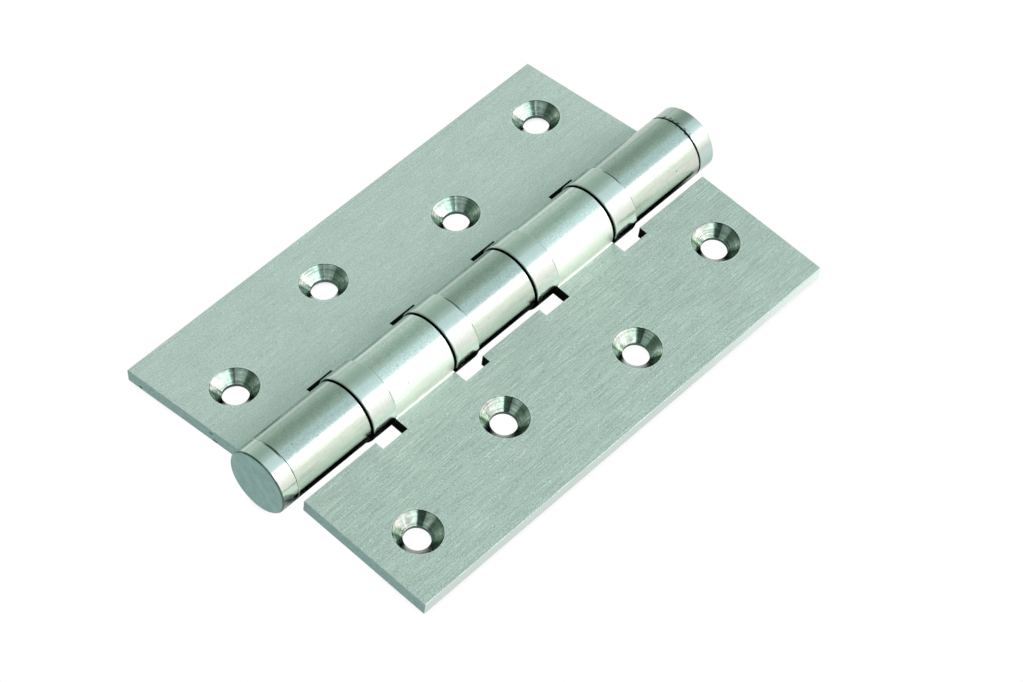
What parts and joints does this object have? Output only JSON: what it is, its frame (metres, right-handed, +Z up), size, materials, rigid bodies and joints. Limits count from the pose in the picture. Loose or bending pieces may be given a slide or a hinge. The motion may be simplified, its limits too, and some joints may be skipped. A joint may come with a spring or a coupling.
{
  "type": "ball bearing butt hinge",
  "caption": "Steel butt hinge with flat square leaves, countersunk screw holes, rolled knuckles, ball bearings between the knuckles and flat end caps on the pin.",
  "frame": {"origin": "on the surface the hinge lies on, under the middle of the barrel", "axes": "+Y along the pin towards the far cap, +X towards the two-knuckle leaf, +Z up, out of the countersunk side"},
  "size_m": [0.0696, 0.1076, 0.0132],
  "materials": {
    "satin_steel": "satin",
    "cup_steel": "satin",
    "pin_steel": "satin",
    "bearing_steel": "polished"
  },
  "bodies": {
    "three_knuckle_side": {"three_knuckle_leaf": "satin_steel", "hinge_pin": "pin_steel", "near_end_cap": "satin_steel", "far_end_cap": "satin_steel", "bearing_1_neck_race": "bearing_steel", "bearing_3_neck_race": "bearing_steel", "bearing_2_cup": "cup_steel", "bearing_2_seat_race": "bearing_steel", "bearing_4_cup": "cup_steel", "bearing_4_seat_race": "bearing_steel"},
    "two_knuckle_side": {"two_knuckle_leaf": "satin_steel", "bearing_2_neck_race": "bearing_steel", "bearing_4_neck_race": "bearing_steel", "bearing_1_cup": "cup_steel", "bearing_1_seat_race": "bearing_steel", "bearing_3_cup": "cup_steel", "bearing_3_seat_race": "bearing_steel"},
    "bearing_1_rollers": {"bearing_1_ball_cage": "bearing_steel", "bearing_1_balls": "bearing_steel"},
    "bearing_2_rollers": {"bearing_2_ball_cage": "bearing_steel", "bearing_2_balls": "bearing_steel"},
    "bearing_3_rollers": {"bearing_3_ball_cage": "bearing_steel", "bearing_3_balls": "bearing_steel"},
    "bearing_4_rollers": {"bearing_4_ball_cage": "bearing_steel", "bearing_4_balls": "bearing_steel"}
  },
  "joints": [
    {"name": "leaf_swing", "type": "hinge", "parent": "three_knuckle_side", "child": "two_knuckle_side", "pos_m": [0, 0, 0.0066], "axis": [0, -1, 0], "range_deg": [-116, 189.5]},
    {"name": "bearing_1_roll", "type": "hinge", "parent": "three_knuckle_side", "child": "bearing_1_rollers", "pos_m": [0, 0, 0.0066], "axis": [0, -1, 0], "range_deg": [-58, 94.8]},
    {"name": "bearing_2_roll", "type": "hinge", "parent": "three_knuckle_side", "child": "bearing_2_rollers", "pos_m": [0, 0, 0.0066], "axis": [0, -1, 0], "range_deg": [-58, 94.8]},
    {"name": "bearing_3_roll", "type": "hinge", "parent": "three_knuckle_side", "child": "bearing_3_rollers", "pos_m": [0, 0, 0.0066], "axis": [0, -1, 0], "range_deg": [-58, 94.8]},
    {"name": "bearing_4_roll", "type": "hinge", "parent": "three_knuckle_side", "child": "bearing_4_rollers", "pos_m": [0, 0, 0.0066], "axis": [0, -1, 0], "range_deg": [-58, 94.8]}
  ],
  "couplings": [
    {"joint": "bearing_1_roll", "follows": "leaf_swing", "ratio": 0.5},
    {"joint": "bearing_2_roll", "follows": "leaf_swing", "ratio": 0.5},
    {"joint": "bearing_3_roll", "follows": "leaf_swing", "ratio": 0.5},
    {"joint": "bearing_4_roll", "follows": "leaf_swing", "ratio": 0.5}
  ]
}
